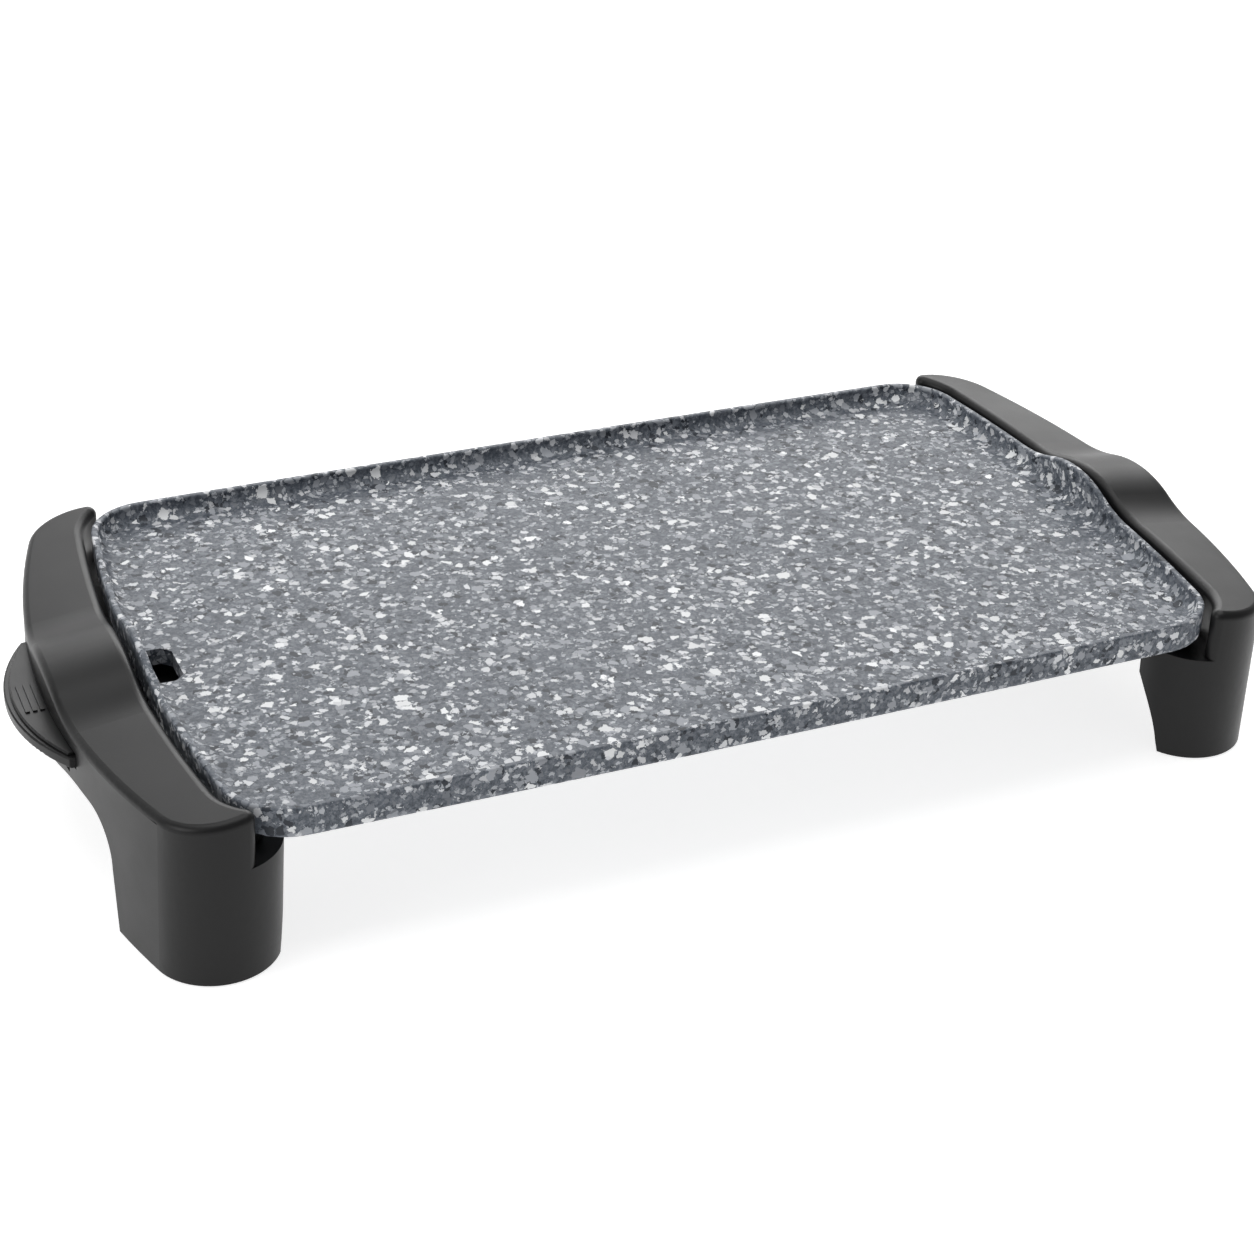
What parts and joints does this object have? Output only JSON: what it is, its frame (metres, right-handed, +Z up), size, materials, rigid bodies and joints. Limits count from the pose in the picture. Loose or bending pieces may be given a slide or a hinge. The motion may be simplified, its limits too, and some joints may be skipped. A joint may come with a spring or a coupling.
{
  "type": "electric griddle",
  "caption": "Rectangular electric griddle with a stone-effect pan, moulded handle-legs at both ends, a slide-out drip tray and a plug-in thermostat inlet.",
  "frame": {"origin": "middle of the whole object's footprint, on the table surface", "axes": "+X along the plate's length, from the drip tray's end to the inlet's end; +Y from front to back; +Z up"},
  "size_m": [0.5524, 0.2736, 0.0839],
  "materials": {
    "stone_coat": "matte",
    "end_plastic": "matte",
    "element_steel": "satin",
    "zinc_steel": "satin",
    "plated_steel": "polished",
    "insulator": "matte",
    "foot_rubber": "matte"
  },
  "bodies": {
    "griddle": {"griddle_plate": "stone_coat", "left_handle_leg": "end_plastic", "right_handle_leg": "end_plastic", "left_handle_screws": "zinc_steel", "left_handle_spacers": "end_plastic", "right_handle_screws": "zinc_steel", "right_handle_spacers": "end_plastic", "front_left_foot": "foot_rubber", "rear_left_foot": "foot_rubber", "front_right_foot": "foot_rubber", "rear_right_foot": "foot_rubber", "front_tray_rail": "zinc_steel", "rear_tray_rail": "zinc_steel", "tray_rail_screws": "zinc_steel", "element_clamps": "zinc_steel", "element_clamp_screws": "zinc_steel", "inlet_shroud": "end_plastic", "inlet_shroud_screws": "zinc_steel", "terminal_bushes": "insulator", "terminal_pins": "plated_steel", "probe_guide": "plated_steel", "earth_contact": "zinc_steel", "heating_element": "element_steel"},
    "tray": {"drip_tray": "end_plastic"}
  },
  "joints": [
    {"name": "drip_tray_slide", "type": "slide", "parent": "griddle", "child": "tray", "axis": [-1, 0, 0], "range_m": [0, 0.1]}
  ]
}
